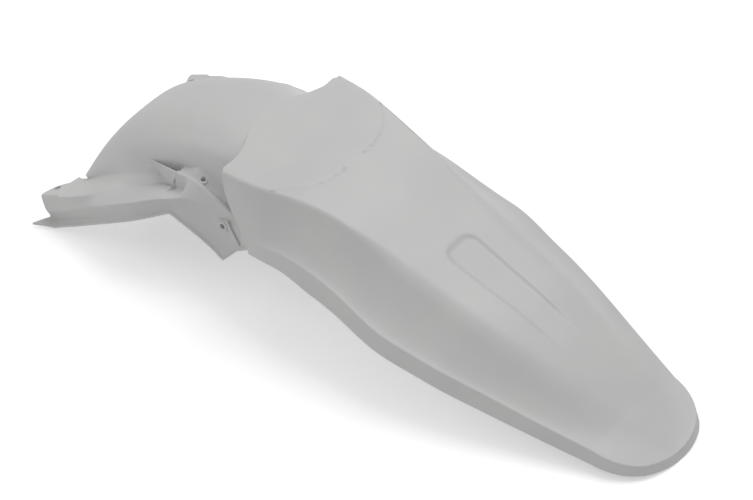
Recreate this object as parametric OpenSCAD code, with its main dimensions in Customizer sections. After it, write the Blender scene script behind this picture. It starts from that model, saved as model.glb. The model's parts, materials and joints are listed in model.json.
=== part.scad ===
// Rear fender of an off-road motorcycle: one injection-moulded plastic shell.
// It lies as on a table: +X is the tail tip, +Z is up, and Y = 0 is its middle plane.
// Stations are distances forward of the tail tip, along X.

/* [Tail] */
// Length of the tail, from its tip to the front corners of the seat shelf
tail_length = 494; // [440:2:560]
// Width of the seat shelf across its front corners
shelf_width = 180; // [164:2:196]
// Height of the seat shelf
shelf_height = 163; // [150:1:176]
// How far the middle of the shelf's front edge stands ahead of its corners
shelf_point = 26; // [16:1:30]
// Width across the shoulders at the middle of the tail
waist_width = 126; // [110:2:144]
// Height of the shoulders at the middle of the tail
waist_height = 126; // [112:1:138]
// Width across the shoulders where the rounded tip starts
nose_width = 66; // [54:2:78]
// Height of the shoulders where the rounded tip starts
nose_height = 31; // [28:1:36]
// How far the crown stands above the shoulders
crown_rise = 4; // [2:0.5:6]
// Rounding of the shoulders along the tail
shoulder_round = 14; // [8:1:18]
// Rounding of the shoulders beside the seat shelf
shelf_round = 5; // [5:0.5:8]

/* [Side walls] */
// Width over the side walls where they flare out most
flare_width = 228; // [206:2:250]
// Height of the bead there
flare_height = 86; // [78:1:94]
// Width over the side walls at the front of the tail
panel_width = 200; // [190:2:214]
// Height of the bead at the front of the tail
panel_height = 100; // [94:1:108]
// Width over the side walls where the rounded tip starts
nose_flare = 132; // [118:2:146]
// Height of the bead where the rounded tip starts
nose_bead = 26.5; // [24:0.5:30]
// Depth of the lip below the bead, at its deepest
lip_depth = 25; // [18:1:30]
// How far the lip leans out below the bead
lip_lean = 3.5; // [2:0.5:6]
// How far the front edge of a side wall slants back
panel_slant = 43; // [34:1:50]

/* [Tip] */
// Length of the rounded tip
tip_reach = 58; // [50:1:68]
// Height of the bead at the very tip
tip_bead = 10; // [8:0.5:14]
// Fall of the crown over each millimetre of the tip
tip_fall = 0.5; // [0.3:0.05:0.6]

/* [Channel] */
// Width of the sunken channel along the crown, at its front
channel_width = 44; // [32:1:52]
// Depth of the channel
channel_depth = 2; // [1:0.25:3]
// Distance of the channel's front end from the tail tip
channel_front = 279; // [240:1:320]
// Length of the channel
channel_length = 148; // [110:2:170]

/* [Hood] */
// Length of the hood, from the shelf's corners forward to its front
hood_length = 188; // [172:2:200]
// Height of the hood's front edge
hood_front_height = 52; // [46:1:58]
// Width of the hood at its front
hood_front_width = 170; // [160:2:180]
// Width of the hood at its rear, below the seat shelf
hood_rear_width = 131; // [120:1:144]
// Height of the hood's foot below the seat shelf
hood_foot = 124; // [118:1:130]

/* [Arms] */
// Length of the arms, from the shelf's corners forward to their ends
arm_length = 213; // [206:1:222]
// Width over the arms at the edge of their flanges
arm_width = 242; // [230:2:252]
// Height of the arms' flanges at their front ends
arm_height = 31; // [29:1:36]
// Rise of the arms towards the rear
arm_angle = 28.2; // [26:0.2:30]
// Height of the outer face of an arm below its flange
arm_face = 25; // [20:1:28]
// Width of the lip that turns out below each arm at its front end
arm_lip = 18; // [8:1:22]

/* [Skirts] */
// Distance between the lower corners of the two skirts
skirt_spread = 168; // [156:2:176]
// Height of a skirt's lower corner
skirt_corner = 43; // [34:1:50]
// Width over the upper edges of the skirts
skirt_width = 164; // [156:2:172]
// Depth of the ledge inside a skirt's upper edge
ledge_depth = 2; // [1.5:0.5:3]
// Width of the rim along a skirt's upper edge
ledge_rim = 4.5; // [4:0.5:6]
// Height over which the ledge sweeps up to the side of the hood
ledge_sweep = 11; // [8:1:13]

/* [Holes] */
// Diameter of the bolt holes in the arms
bolt_hole = 7; // [5:0.5:8.5]
// Distance between the two bolt holes
bolt_spacing = 208; // [202:1:214]
// Distance of the bolt holes from the front ends of the arms
bolt_setback = 11; // [9:0.5:14]
// Diameter of the screw holes in the ledges
ledge_hole = 5; // [4:0.5:6]
// Diameter of the screw holes in the skirts
skirt_hole = 6; // [4:0.5:7]
// Width of the raised rim round each of these screw holes
boss_rim = 2.5; // [2:0.25:3.5]
// Height of the raised rim
boss_rise = 2; // [1:0.25:3]

/* [Wall] */
// Thickness of the moulded wall
wall = 3; // [2.5:0.25:3.5]

/* [Hidden] */
shell_colour = [0.86, 0.86, 0.85];
overall_length = tail_length + arm_length;

// A point at a station forward of the tip
function at(station, y, z) = [overall_length / 2 - station, y, z];

function unit(v) = v / norm(v);

// Smooth step from 0 to 1
function ease(t) = let (c = max(0, min(1, t))) c * c * (3 - 2 * c);

// Monotone cubic curve through control points [[x, value], ...]
function chord(p, i) = (p[i + 1][1] - p[i][1]) / (p[i + 1][0] - p[i][0]);
function tangent(p, i) =
    i == 0 ? chord(p, 0) :
    i == len(p) - 1 ? chord(p, i - 1) :
    let (a = chord(p, i - 1), b = chord(p, i))
    a * b <= 0 ? 0 : 3 * a * b / (a + b + min(abs(a), abs(b)) * sign(a));
function span(p, x, i = 0) = i >= len(p) - 2 || x <= p[i + 1][0] ? i : span(p, x, i + 1);
function curve(p, x) =
    let (
        c = max(p[0][0], min(p[len(p) - 1][0], x)),
        i = span(p, c),
        h = p[i + 1][0] - p[i][0],
        t = (c - p[i][0]) / h
    )
    p[i][1] * (1 + 2 * t) * pow(1 - t, 2) + tangent(p, i) * h * t * pow(1 - t, 2)
    + p[i + 1][1] * t * t * (3 - 2 * t) + tangent(p, i + 1) * h * t * t * (t - 1);

function bezier2(a, b, c, t) = a * pow(1 - t, 2) + b * 2 * t * (1 - t) + c * t * t;
function bezier3(a, b, c, d, t) =
    a * pow(1 - t, 3) + b * 3 * t * pow(1 - t, 2) + c * 3 * t * t * (1 - t) + d * pow(t, 3);

// Points of a section line moved to the inner side of the wall, square to the line
function inward(p, q) = let (d = unit(q - p)) [d[1], -d[0]];
function inset(line, depth) = [
    for (i = [0 : len(line) - 1])
        let (
            before = inward(line[max(0, i - 1)], line[max(1, i)]),
            after = inward(line[min(i, len(line) - 2)], line[min(i + 1, len(line) - 1)]),
            middle = unit(before + after)
        )
        line[i] + middle * depth / max(0.7, middle * before)
];

// Faces of a sheet of rows and columns between two skins, closed along its four edges
function sheet_faces(rows, cols) =
    let (n = rows * cols)
    concat(
        [for (i = [0 : rows - 2], j = [0 : cols - 2])
            let (a = i * cols + j, b = a + cols)
            each [[a, b, b + 1], [a, b + 1, a + 1]]],
        [for (i = [0 : rows - 2], j = [0 : cols - 2])
            let (a = n + i * cols + j, b = a + cols)
            each [[a, b + 1, b], [a, a + 1, b + 1]]],
        [for (i = [0 : rows - 2], side = [0, 1])
            let (a = i * cols + side * (cols - 1), b = a + cols)
            each side == 0 ? [[a, a + n, b + n], [a, b + n, b]] : [[a, b + n, a + n], [a, b, b + n]]],
        [for (j = [0 : cols - 2], side = [0, 1])
            let (a = side * (rows - 1) * cols + j, b = a + 1)
            each side == 0 ? [[a, b + n, a + n], [a, b, b + n]] : [[a, a + n, b + n], [a, b + n, b]]]
    );
module sheet(outer, inner) {
    polyhedron(
        points = [for (skin = [outer, inner]) for (row = skin) each row],
        faces = [for (f = sheet_faces(len(outer), len(outer[0]))) [f[0], f[2], f[1]]],
        convexity = 10
    );
}

// Tail: shares of its run, from the start of the tip at 0 to the shelf's corners at 1
tail_run = tail_length - tip_reach;
function share(a, b, part) = a + (b - a) * part;
function shoulder_y(u) = u < 0.5
    ? share(nose_width, waist_width, curve([
        [0, 0], [0.1, 0.25], [0.18, 0.52], [0.27, 0.72], [0.36, 0.85], [0.5, 1]], u)) / 2
    : share(waist_width, shelf_width, curve([
        [0.5, 0], [0.64, 0.17], [0.71, 0.3], [0.78, 0.48], [0.85, 0.7], [0.92, 0.92], [1, 1]], u)) / 2;
function shoulder_z(u) = u < 0.5
    ? share(nose_height, waist_height, curve([
        [0, 0], [0.1, 0.26], [0.18, 0.46], [0.27, 0.65], [0.36, 0.79], [0.5, 1]], u))
    : share(waist_height, shelf_height, curve([
        [0.5, 0], [0.55, 0.18], [0.64, 0.57], [0.71, 0.81], [0.78, 0.95], [0.84, 1], [1, 1]], u));
function flare_y(u) = u < 0.52
    ? share(nose_flare, flare_width, curve([
        [0, 0], [0.12, 0.28], [0.25, 0.57], [0.34, 0.76], [0.42, 0.88], [0.52, 1]], u)) / 2
    : share(panel_width, flare_width, curve([
        [0.52, 1], [0.58, 0.82], [0.65, 0.61], [0.78, 0.5], [0.9, 0.29], [1, 0]], u)) / 2;
function flare_z(u) = u < 0.52
    ? share(nose_bead, flare_height, curve([
        [0, 0], [0.12, 0.23], [0.25, 0.5], [0.34, 0.66], [0.42, 0.8], [0.52, 1]], u))
    : share(flare_height, panel_height, curve([
        [0.52, 0], [0.58, 0.5], [0.64, 1.1], [0.71, 1.64], [0.79, 1.9], [0.84, 1.8], [0.9, 1.5], [1, 1]], u));
function lip(u) = lip_depth * curve([
    [0, 0.62], [0.12, 0.7], [0.25, 0.82], [0.48, 0.88], [0.71, 1], [0.79, 0.9], [0.84, 0.76], [1, 0.56]], u);
function rounding(u) = share(shoulder_round, shelf_round, ease((u - 0.6) / 0.25));

// Half of a section, from the crown out over the shoulder and down the side wall to the lip.
// fall is the slope of the crown line at the middle, bow bends the side wall.
tail_top = [0, 0.12, 0.24, 0.31, 0.38, 0.55, 0.72, 0.87];
tail_wing = [0.14, 0.32, 0.52, 0.72, 0.88, 1];
bead_drop = 2.5;
function half_section(ys, zs, zc, yb, zb, drop, radius, fall = 0, bow = 1.5) =
    let (
        top_cut = min(0.6, radius / ys),
        wing_cut = min(0.5, radius / norm([yb - ys, zs - zb])),
        rise = zc - zs,
        bend_1 = [ys * (1 - top_cut), zc - fall * (1 - top_cut) - (rise - fall) * pow(1 - top_cut, 2)],
        bend_2 = [ys + (yb - ys) * wing_cut, zs - (zs - zb) * (1 - pow(1 - wing_cut, bow))]
    )
    concat(
        [for (k = tail_top)
            let (t = k * (1 - top_cut))
            [ys * t, zc - fall * t - (rise - fall) * t * t]],
        [for (k = [0 : 0.25 : 1]) bezier2(bend_1, [ys, zs], bend_2, k)],
        [for (k = tail_wing)
            let (t = wing_cut + (1 - wing_cut) * k)
            [ys + (yb - ys) * t, zs - (zs - zb) * (1 - pow(1 - t, bow))]],
        [[yb + lip_lean / 3, zb - bead_drop], [yb + lip_lean, zb - drop]]
    );

// How far the front edge stands back at each point of a section
function setback(u, y, z) =
    let (
        below = max(0, shelf_height - z),
        slant = panel_slant * curve([[0, 0], [20, 0.14], [40, 0.37], [58, 0.7], [72, 1], [90, 1.2]], below),
        point = shelf_point * curve([[0, 1], [15, 0.85], [53, 0.2], [78, 0], [90, 0]], abs(y)) * (1 - ease(below / 8))
    )
    (slant - point) * max(0, 1 - (1 - u) * 3.6);

// Depth of the channel at a point of the crown
function channel(station, y) =
    let (
        back = channel_front - station,
        part = back / channel_length,
        half = channel_width / 2 * share(1, 0.7, part) * sqrt(max(0, min(1, back / 16)))
    )
    part <= 0 || part >= 1 ? 0 :
    channel_depth * ease((half - abs(y)) / 4 + 0.5) * (1 - ease((part - 0.75) / 0.25));

// One station of the tail as points [outward, height] on the two skins
tail_rows = 28;
function tail_line(u) = half_section(
    shoulder_y(u), shoulder_z(u),
    shoulder_z(u) + crown_rise * share(1.25, 1, ease(u / 0.2)) - ease((u - 0.7) / 0.3),
    flare_y(u), flare_z(u), lip(u), rounding(u));
function with_axis(line, depth) = let (p = inset(line, depth))
    [for (i = [0 : len(p) - 1])
        i == 0 ? [0, line[0][1] - depth] :
        i == len(p) - 1 ? [p[i][0], line[i][1]] : p[i]];
function place(u, line, ref, side) = [
    for (i = [0 : len(line) - 1])
        let (
            station = tip_reach + tail_run * u - setback(u, ref[i][0], ref[i][1]),
            sink = i < len(tail_top) ? channel(station, ref[i][0]) : 0
        )
        at(station, side * line[i][0], line[i][1] - sink)
];

// One direction of the rounded tip: turn runs from 90 on the left to -90 on the right
fan_rows = 9;
function fan_line(turn) =
    let (
        a = abs(turn) / 90,
        round = curve([[0, 0], [0.28, 0.26], [0.5, 0.61], [0.67, 0.78], [1, 1]], a),
        reach = share(tip_reach - lip_lean, nose_flare / 2, round),
        ys = share(reach * 0.57, nose_width / 2, a),
        zc = nose_height + crown_rise * 1.25,
        fall = tip_fall * ys * cos(turn),
        zs = share(zc, nose_height, pow(sin(turn), 2)) - fall,
        climb = curve([[0, 0], [0.5, 0.3], [0.67, 0.52], [0.85, 0.79], [1, 1]], a),
        zb = share(tip_bead, nose_bead, climb),
        drop = share(tip_bead, lip(0), curve([[0, 0], [0.5, 0.1], [0.67, 0.45], [1, 1]], a))
    )
    half_section(ys, zs, zc, reach, zb, drop, rounding(0), fall, share(1.15, 1.5, a));
function fan_place(turn, line) = [
    for (p = line) at(tip_reach - p[0] * cos(turn), -p[0] * sin(turn), p[1])
];

tail_shares = [for (i = [0 : tail_rows - 1]) 1 - i / (tail_rows - 1)];
function tail_skin(depth) = concat(
    [for (u = tail_shares) place(u, with_axis(tail_line(u), depth), tail_line(u), -1)],
    [for (k = [1 : fan_rows])
        let (turn = 90 - 180 * k / (fan_rows + 1))
        fan_place(turn, with_axis(fan_line(turn), depth))],
    [for (i = [tail_rows - 1 : -1 : 0])
        let (u = tail_shares[i])
        place(u, with_axis(tail_line(u), depth), tail_line(u), 1)]
);

// The left half, the tip and the right half are one strip that shares the crown line
function tail_faces(rows, cols) =
    let (
        n = rows * cols,
        crown = function(i) min(i, tail_rows - 1, rows - 1 - i),
        id = function(i, j) (j == 0 ? crown(i) : i) * cols + j
    )
    concat(
        [for (i = [0 : rows - 2], j = [0 : cols - 2], skin = [0, n])
            let (
                a = skin + id(i, j),
                b = skin + id(i + 1, j),
                c = skin + id(i + 1, j + 1),
                d = skin + id(i, j + 1)
            )
            each skin == 0
                ? (a == b ? [[a, d, c]] : [[a, c, b], [a, d, c]])
                : (a == b ? [[a, c, d]] : [[a, b, c], [a, c, d]])],
        [for (i = [0 : rows - 2])
            let (a = id(i, cols - 1), b = id(i + 1, cols - 1))
            each [[a, a + n, b + n], [a, b + n, b]]],
        [for (j = [0 : cols - 2])
            let (a = id(0, j), b = id(0, j + 1), c = id(rows - 1, j), d = id(rows - 1, j + 1))
            each [[a, a + n, b + n], [a, b + n, b], [c, d + n, c + n], [c, d, d + n]]]
    );
module tail() {
    outer = tail_skin(0);
    inner = tail_skin(wall);
    polyhedron(
        points = [for (skin = [outer, inner]) for (row = skin) each row],
        faces = [for (f = tail_faces(len(outer), len(outer[0]))) [f[0], f[2], f[1]]],
        convexity = 10
    );
}

// Hood: an arch over the wheel, from its front edge up to the seat shelf and on below it
shelf_crown = shelf_height + crown_rise - 1;
hood_front = tail_length + hood_length;
hood_top = tail_length + shelf_point - 4;
hood_end = tail_length - 38;
hood_crown = shelf_crown - 1;
hood_rows = 13;
hood_turns = 20;
function hood_foot_station(t) = share(hood_front - 8, hood_top, t);
function hood_half(station) = curve([
    [hood_top, hood_rear_width / 2],
    [hood_top + 53, hood_rear_width / 2 + 0.5],
    [hood_top + 106, share(hood_rear_width, hood_front_width, 0.16) / 2],
    [hood_front - 8, hood_front_width / 2]], station);
function hood_foot_z(station) = curve([
    [hood_top, hood_foot],
    [share(hood_top, hood_front - 8, 0.5), share(hood_front_height, hood_foot, 0.57)],
    [hood_front - 8, hood_front_height]], station);
function hood_power(t) = curve([[0, 3.2], [0.5, 2.4], [1, 5]], t);
function arch(turn, power) = [
    sign(sin(turn)) * pow(abs(sin(turn)), 2 / power),
    abs(turn) > 89.9 ? 0 : pow(cos(turn), 2 / power)
];
// One arch, from its hem on the left over the crown to its hem on the right
function hood_arch(foot_station, foot_z, top_station, top_z, half, power, depth) =
    let (
        reach = norm([top_station - foot_station, top_z - foot_z]),
        line = [for (k = [0 : hood_turns])
            let (a = arch(share(-90, 90, k / hood_turns), power)) [half * a[0], reach * a[1]]],
        moved = depth == 0 ? line : inset(line, depth),
        hem_z = min(foot_z - 2, ledge_floor(arm_front - foot_station) - 6)
    )
    concat(
        [at(foot_station, -(half - depth), hem_z)],
        [for (k = [0 : hood_turns])
            let (c = max(0.02 * min(k, hood_turns - k), moved[k][1] / reach))
            at(share(foot_station, top_station, c), moved[k][0], share(foot_z, top_z, c))],
        [at(foot_station, half - depth, hem_z)]
    );
function hood_skin(depth) = concat(
    [for (i = [0 : hood_rows - 1])
        let (
            t = i / (hood_rows - 1),
            foot = hood_foot_station(t),
            rise = hood_crown - hood_front_height
        )
        hood_arch(
            foot, hood_foot_z(foot),
            bezier3(hood_front, hood_front + 9, hood_top + 62, hood_top, t),
            bezier3(hood_front_height, hood_front_height + rise * 0.45, hood_crown + 2, hood_crown, t),
            hood_half(foot), hood_power(t), depth)],
    [for (i = [1 : 4])
        let (station = share(hood_top, hood_end, i / 4))
        hood_arch(station, hood_foot, station, hood_crown, hood_rear_width / 2, hood_power(1), depth)]
);
module hood() {
    sheet(hood_skin(0), hood_skin(wall));
}

// Arm and skirt of one side, as sections at distances back from the front end of the arm
arm_front = tail_length + arm_length;
step_back = arm_length - 67;
corner_back = arm_length - 6;
skirt_back = arm_length + 39;
side_backs = concat(
    [0, 2, 4, 7, 11, 17, 24, 32, 42, 54, 69, 84, 99, 114, 129, step_back - 2],
    [step_back, step_back + 9, step_back + 18, step_back + 30, step_back + 46],
    [corner_back, corner_back + 8, corner_back + 21, corner_back + 35, skirt_back]
);
function on_skirt(back) = back >= step_back;
function flange_z(back) = arm_height + back * tan(arm_angle);

// Upper edge of the skirt, and the crease at the edge of the arm's flange ahead of it
function top_y(back) = on_skirt(back)
    ? skirt_width / 2
    : curve([[0, arm_width / 2 - 3], [69, arm_width / 2 - 3], [105, arm_width / 2 - 12],
        [step_back, arm_width / 2 - 23]], back);
function top_z(back) = on_skirt(back)
    ? curve([[step_back, shelf_height - 45], [step_back + 18, shelf_height - 43],
        [step_back + 46, shelf_height - 52], [corner_back, shelf_height - 57], [skirt_back, shelf_height - 72]], back)
    : flange_z(back) - curve([[0, 0], [69, 0], [105, 4], [step_back, 5]], back);

// Where the flange or the ledge meets the side of the hood
function root_y(back) =
    back < 20
    ? min(arm_width / 2 - 8, bolt_spacing / 2 + curve([[0, 9], [2, 5], [5, -1], [12, -7], [20, -11]], back))
    : min(arm_width / 2 - 28, hood_half(arm_front - back) - 2);
function ledge_floor(back) = top_z(back)
    - (on_skirt(back) ? ledge_depth : curve([[0, 0], [50, 0], [69, 1], [105, 5], [step_back, 7]], back));
function root_z(back) = ledge_floor(back) + ledge_sweep * ease((back - step_back) / 22);

// How far the skirt's outer face is folded out again below its front corner, from 0 to 1
function fold(back) = on_skirt(back) ? 1 - ease((back - step_back - 4) / 22) : 0;
function side_line(back) =
    let (
        edge = [top_y(back), top_z(back)],
        rim = on_skirt(back) ? ledge_rim : wall,
        floor_z = on_skirt(back) ? ledge_floor(back) : edge[1],
        root = [root_y(back), root_z(back)],
        gap = edge[0] - rim - root[0],
        mid_y = curve([
            [0, arm_width / 2], [69, arm_width / 2 - 2], [110, arm_width / 2 - 4],
            [step_back, arm_width / 2 - 12], [step_back + 22, skirt_width / 2 + 16],
            [step_back + 34, skirt_width / 2 + 9], [corner_back, skirt_width / 2 + 4],
            [skirt_back, skirt_width / 2 + 4]], back),
        mid_z = curve([
            [0, arm_height - 10], [17, flange_z(17) - 17], [50, flange_z(50) - 14],
            [69, flange_z(69) - 12], [110, flange_z(110) - 8], [step_back, flange_z(step_back) - 9],
            [step_back + 22, flange_z(step_back) - 5], [step_back + 34, flange_z(step_back) - 8],
            [corner_back, skirt_corner + 46], [skirt_back, skirt_corner + 44]], back),
        low_y = curve([
            [0, arm_width / 2 - 7], [105, arm_width / 2 - 8], [step_back + 6, skirt_width / 2 + 16],
            [corner_back, skirt_spread / 2], [corner_back + 35, skirt_spread / 2 + 3],
            [skirt_back, skirt_spread / 2 + 3]], back),
        low_z = lookup(back, [
            [0, arm_height - arm_face + 1], [20, flange_z(20) - arm_face - 9],
            [45, flange_z(45) - arm_face - 9], [110, flange_z(110) - arm_face - 3],
            [step_back + 6, flange_z(step_back) - arm_face], [corner_back, skirt_corner],
            [corner_back + 21, skirt_corner + 26], [corner_back + 35, skirt_corner + 36],
            [skirt_back, skirt_corner + 37]]),
        lip_y = low_y + curve([[0, arm_lip], [20, 8], [44, 5], [105, 4], [155, 2]], back),
        lip_z = low_z - curve([[0, 1], [24, 2.5], [60, 2.5]], back)
    )
    [
        root,
        [root[0] + gap * 0.25, share(root[1], floor_z, 0.4)],
        [root[0] + gap * 0.6, share(root[1], floor_z, 0.8)],
        [edge[0] - rim, floor_z],
        [edge[0] - rim + 0.5, edge[1]],
        edge,
        [
            share((edge[0] + mid_y) / 2, edge[0] + 2.5, fold(back)),
            share((edge[1] + mid_z) / 2, mid_z - 1, fold(back))
        ],
        [mid_y, mid_z],
        [low_y, low_z],
        [lip_y, lip_z]
    ];
function side_inside(line, depth, back) =
    let (under = depth / cos(arm_angle), floor_z = line[3][1] - under)
    [
        [line[0][0], line[0][1] - under],
        [line[1][0], line[1][1] - under],
        [line[2][0], line[2][1] - under],
        [line[3][0] - 0.6, floor_z],
        [line[4][0] - 0.7, floor_z - 0.2],
        [line[5][0] - depth, floor_z - 0.4],
        [line[6][0] - depth, min(line[6][1] - under * fold(back), floor_z - 0.5)],
        [line[7][0] - depth, min(line[7][1] - under * fold(back), floor_z - 0.6)],
        [line[8][0] - depth, line[8][1] - depth * 0.6],
        [line[9][0], line[9][1] - depth * 0.8]
    ];
module side() {
    outer = [for (b = side_backs) [for (p = side_line(b)) at(arm_front - b, -p[0], p[1])]];
    inner = [for (b = side_backs)
        [for (p = side_inside(side_line(b), wall, b)) at(arm_front - b, -p[0], p[1])]];
    sheet(inner, outer);
}

// Slanted plate that closes the front of the ledge, from the hood out to the skirt's corner
module gusset() {
    tip = at(arm_front - 104, -(hood_half(arm_front - 104) - 1), top_z(step_back) - 15);
    top = at(arm_front - step_back, -skirt_width / 2, top_z(step_back));
    foot = at(arm_front - step_back, -(skirt_width / 2 + 3), top_z(step_back) - 18);
    heel = at(arm_front - 108, -(hood_half(arm_front - 108) - 1), top_z(step_back) - 20);
    back = [wall, wall * 0.6, 0];
    outer = [[tip, top], [heel, foot]];
    inner = [for (row = outer) [for (p = row) p + back]];
    sheet(outer, inner);
}

// Return wall from the front edge of the shelf and side wall in to the hood
function hood_point(turn) =
    let (a = arch(turn, hood_power(1)))
    [hood_rear_width / 2 * a[0], share(hood_foot, hood_crown, a[1])];
web_columns = [4 : 16];
module web() {
    line = tail_line(1);
    edge = place(1, line, line, -1);
    outer = [for (j = web_columns)
        let (
            k = (j - 4) / 12,
            e = edge[j] + [1.2, wall / 2, -wall / 2],
            h = hood_point(share(35, 90, k)),
            step = ease(k * 1.4 - 0.3)
        )
        [e, e + [-2 - 6 * step, 1 + 3 * step, 0], [e[0] - 6, -(h[0] - 1.5), k < 1 ? h[1] - 1 : e[2]]]];
    inner = [for (row = outer) [for (p = row) p + [wall, 0, -0.5]]];
    sheet(inner, outer);
}

// Raised rims round the screw holes: one on each ledge and one on each skirt
ledge_screw_back = step_back + 28;
ledge_screw_y = 74;
ledge_screw_z = top_z(ledge_screw_back);
skirt_screw_back = corner_back + 3;
skirt_screw_z = skirt_corner + 44;
module ledge_boss() {
    translate(at(arm_front - ledge_screw_back, -ledge_screw_y, ledge_screw_z - wall - 3))
        cylinder(h = wall + 3 + boss_rise, d = ledge_hole + 2 * boss_rim, $fn = 24);
}
module skirt_boss() {
    translate(at(arm_front - skirt_screw_back, -(skirt_width / 2 + 5 + boss_rise), skirt_screw_z))
        rotate([-90, 0, 0])
            cylinder(h = wall + 3 + boss_rise, d = skirt_hole + 2 * boss_rim, $fn = 24);
}
module holes() {
    translate(at(arm_front - bolt_setback, -bolt_spacing / 2, flange_z(bolt_setback)))
        rotate([0, -arm_angle, 0])
            cylinder(h = 6 * wall, d = bolt_hole, center = true, $fn = 48);
    translate(at(arm_front - ledge_screw_back, -ledge_screw_y, ledge_screw_z))
        cylinder(h = 10 * wall, d = ledge_hole, center = true, $fn = 48);
    translate(at(arm_front - skirt_screw_back, -skirt_width / 2 - 3, skirt_screw_z))
        rotate([90, 0, 0])
            cylinder(h = 10 * wall, d = skirt_hole, center = true, $fn = 48);
}

// The whole moulding: its shells and bosses in one mesh, with the round holes cut through it.
// resize() with zeros changes no size: it makes one mesh of what it holds.
module rear_fender() {
    color(shell_colour) difference() {
        resize([0, 0, 0]) union() {
            tail();
            hood();
            for (m = [0, 1]) mirror([0, m, 0]) {
                side();
                gusset();
                web();
                ledge_boss();
                skirt_boss();
            }
        }
        for (m = [0, 1]) mirror([0, m, 0]) holes();
    }
}

rear_fender();
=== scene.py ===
# %% [markdown]
# This script dresses the rear fender of an off-road motorcycle. The real one is a single
# shell of moulded plastic, so nothing is assembled here: one skin is worked out, thickened to
# a 3 mm wall and given its finish. The CAD part comes first, as the frame that says
# where everything is. X runs rearward to the tail tip, Z is up, and Y = 0 is the middle plane.

# %% Load the frame
import json
import math

import bmesh
import bpy
import numpy as np
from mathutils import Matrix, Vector

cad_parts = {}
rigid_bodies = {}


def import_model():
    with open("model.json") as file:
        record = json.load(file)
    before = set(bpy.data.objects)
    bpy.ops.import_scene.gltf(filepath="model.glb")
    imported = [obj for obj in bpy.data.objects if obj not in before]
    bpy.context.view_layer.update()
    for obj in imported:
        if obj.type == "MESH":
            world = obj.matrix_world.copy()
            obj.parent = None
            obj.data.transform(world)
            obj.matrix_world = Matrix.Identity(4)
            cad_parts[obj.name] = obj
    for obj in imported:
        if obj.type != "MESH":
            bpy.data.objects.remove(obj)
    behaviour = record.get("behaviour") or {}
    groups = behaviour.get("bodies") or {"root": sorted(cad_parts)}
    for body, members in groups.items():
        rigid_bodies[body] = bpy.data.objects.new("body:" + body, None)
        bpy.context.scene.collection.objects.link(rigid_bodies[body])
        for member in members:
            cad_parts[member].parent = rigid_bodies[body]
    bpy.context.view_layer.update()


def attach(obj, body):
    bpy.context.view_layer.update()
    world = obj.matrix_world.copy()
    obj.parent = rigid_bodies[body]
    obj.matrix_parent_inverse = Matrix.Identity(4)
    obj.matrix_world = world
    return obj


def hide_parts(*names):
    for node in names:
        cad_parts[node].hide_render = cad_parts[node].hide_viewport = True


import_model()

# %% [markdown]
# The numbers below are the fender's own sizes in millimetres, the same as in its CAD source.
# A station is a distance forward from the tail tip. Sizes that change along the tail are kept
# as short tables of knots, and one smooth curve through the knots gives every place between.

# %% Sizes and curves
MM = 0.001
TAIL_LENGTH = 494.0
ARM_LENGTH = 213.0
MIDDLE = (TAIL_LENGTH + ARM_LENGTH) / 2
TIP_REACH = 58.0
WALL = 3.0


def at(station, y, z):
    """A point in the row frame from its station, its distance to the right and its height."""
    return np.stack(np.broadcast_arrays(MIDDLE - station, y, z), axis=-1)


def share(a, b, part):
    """The value a given part of the way from a to b."""
    return a + (b - a) * part


def ease(t):
    """A smooth step: 0 up to 0, then three squares less two cubes, then 1 from 1 on."""
    c = np.clip(t, 0, 1)
    return c * c * (3 - 2 * c)


def curve(knots, x):
    """A cubic between each two knots. The slope at a knot is a harmonic mean of the slopes of
    its two sides, or zero where they differ in sign, so the curve never overshoots."""
    x = np.asarray(x, float)
    kx, ky = np.array(knots, float).T
    chord = np.diff(ky) / np.diff(kx)
    a, b = chord[:-1], chord[1:]
    base = a + b + np.minimum(abs(a), abs(b)) * np.sign(a)
    inner = np.where(a * b > 0, 3 * a * b / np.where(base == 0, 1, base), 0)
    slope = np.concatenate([chord[:1], inner, chord[-1:]])
    c = np.clip(x, kx[0], kx[-1])
    i = np.clip(np.searchsorted(kx, c) - 1, 0, len(kx) - 2)
    h = kx[i + 1] - kx[i]
    t = (c - kx[i]) / h
    return (
        ky[i] * (1 + 2 * t) * (1 - t) ** 2 + slope[i] * h * t * (1 - t) ** 2
        + ky[i + 1] * t * t * (3 - 2 * t) + slope[i + 1] * h * t * t * (t - 1)
    )


def fair(knots, x, reach):
    """The curve averaged over a short reach either side, as a long flexible batten would lie.
    The reach shrinks to nothing at both ends, so the ends stay where they are."""
    first, last = knots[0][0], knots[-1][0]
    room = ease(np.minimum(x - first, last - x) / (3 * reach)) * reach
    offsets = np.linspace(-1, 1, 9)
    weights = 1 - offsets**2 * 0.9
    total = sum(w * curve(knots, x + room * o) for w, o in zip(weights, offsets))
    return total / weights.sum()


print("wall", WALL, "mm, length", TAIL_LENGTH + ARM_LENGTH, "mm")

# %% [markdown]
# The tail is one long moulding whose section changes slowly, so it is a surface of two
# parameters: u runs along it, from 0 where the rounded tip starts to 1 at the corners of the
# seat shelf, and the other runs round the section, from the crown over the shoulder and down
# the side wall to the lip. A lofted surface like this is how such a mould is drawn as well,
# and it gives even rows of faces that catch the light without ripples.

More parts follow.
